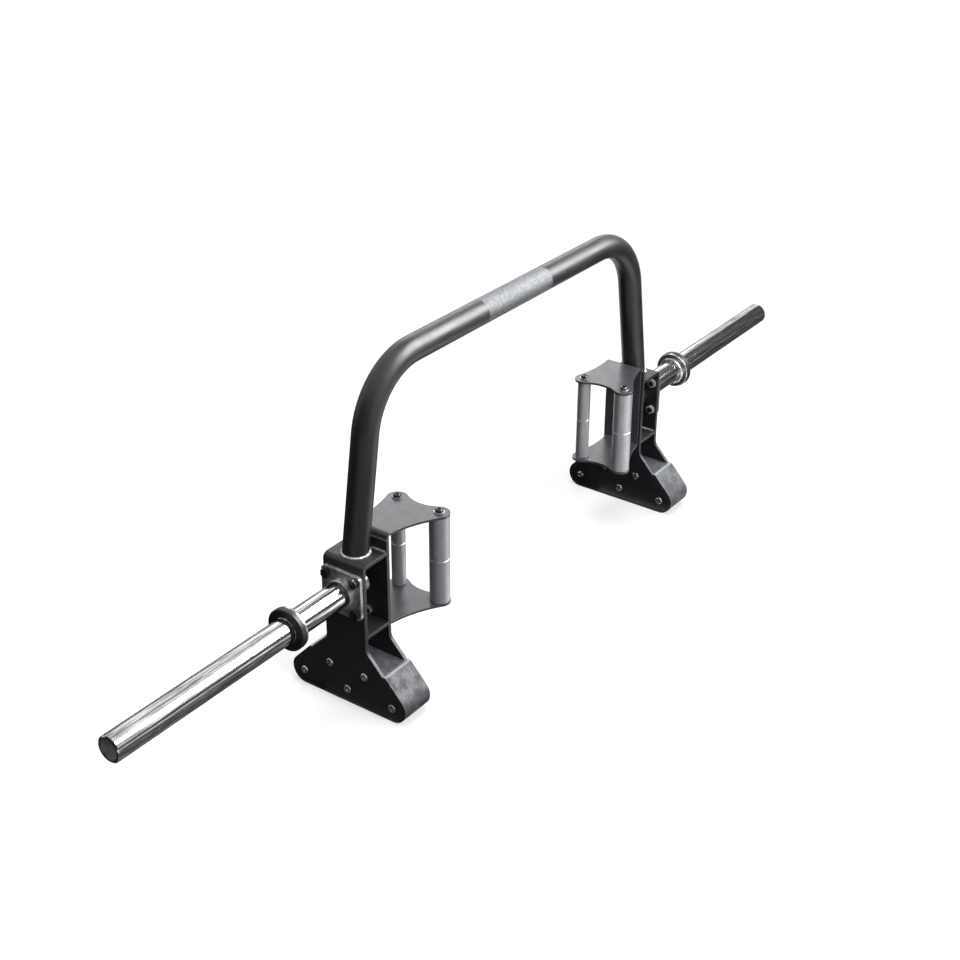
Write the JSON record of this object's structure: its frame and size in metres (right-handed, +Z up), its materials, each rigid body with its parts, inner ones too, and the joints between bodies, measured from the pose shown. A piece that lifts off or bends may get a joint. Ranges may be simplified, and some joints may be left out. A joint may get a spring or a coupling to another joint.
{
  "type": "open-ended trap bar",
  "caption": "Open-ended trap bar: a bent tube frame on two foot brackets, each with a thick and a thin handle and a free-turning plate sleeve.",
  "frame": {"origin": "on the floor, midway between the two foot brackets and midway front to back", "axes": "+X along the sleeves, +Y to the back, away from the thick handles, +Z up"},
  "size_m": [2.2106, 0.276, 0.6835],
  "materials": {
    "tube_paint": "satin black powder coat",
    "plate_paint": "fine textured black powder coat",
    "bracket_paint": "satin grey powder coat",
    "weld_metal": "bare weld bead",
    "foot_block": "scuffed dark grey",
    "handle_steel": "fine knurl, satin",
    "turned_steel": "turned and ground",
    "zinc_plate": "bright zinc plate",
    "bronze": "oiled plain bearing bronze",
    "spring_steel": "blackened spring steel",
    "chrome_plate": "bright chrome plate",
    "buffer_rubber": "matte black",
    "cap_plastic": "matte grey",
    "bolt_steel": "blackened socket and hexagon bolts"
  },
  "bodies": {
    "bar": {"frame_tube": "tube_paint", "left_weld": "weld_metal", "right_weld": "weld_metal", "seam_welds": "weld_metal", "left_outer_plate": "plate_paint", "right_outer_plate": "plate_paint", "left_inner_plate": "plate_paint", "right_inner_plate": "plate_paint", "left_shelf": "plate_paint", "right_shelf": "plate_paint", "left_foot_block": "foot_block", "right_foot_block": "foot_block", "left_handle_bracket": "bracket_paint", "right_handle_bracket": "bracket_paint", "left_thick_handle": "handle_steel", "right_thick_handle": "handle_steel", "left_thin_handle": "handle_steel", "right_thin_handle": "handle_steel", "thick_handle_plugs": "turned_steel", "left_axle_flange": "zinc_plate", "right_axle_flange": "zinc_plate", "left_axle": "turned_steel", "right_axle": "turned_steel", "left_thrust_washer": "bronze", "right_thrust_washer": "bronze", "left_retaining_washer": "turned_steel", "right_retaining_washer": "turned_steel", "left_snap_ring": "spring_steel", "right_snap_ring": "spring_steel", "foot_bolts": "bolt_steel", "flange_bolts": "bolt_steel", "flange_nuts": "zinc_plate", "bracket_bolts": "bolt_steel", "bracket_nuts": "zinc_plate", "handle_bolts": "bolt_steel", "handle_washers": "zinc_plate"},
    "left_sleeve_set": {"left_sleeve": "chrome_plate", "left_inner_bush": "bronze", "left_outer_bush": "bronze", "left_collar": "chrome_plate", "left_buffer_ring": "buffer_rubber", "left_end_cap": "cap_plastic"},
    "right_sleeve_set": {"right_sleeve": "chrome_plate", "right_inner_bush": "bronze", "right_outer_bush": "bronze", "right_collar": "chrome_plate", "right_buffer_ring": "buffer_rubber", "right_end_cap": "cap_plastic"}
  },
  "joints": [
    {"name": "left_sleeve_turn", "type": "hinge", "parent": "bar", "child": "left_sleeve_set", "pos_m": [-0.62, 0, 0.249], "axis": [1, 0, 0], "continuous": true},
    {"name": "right_sleeve_turn", "type": "hinge", "parent": "bar", "child": "right_sleeve_set", "pos_m": [0.62, 0, 0.249], "axis": [1, 0, 0], "continuous": true}
  ]
}
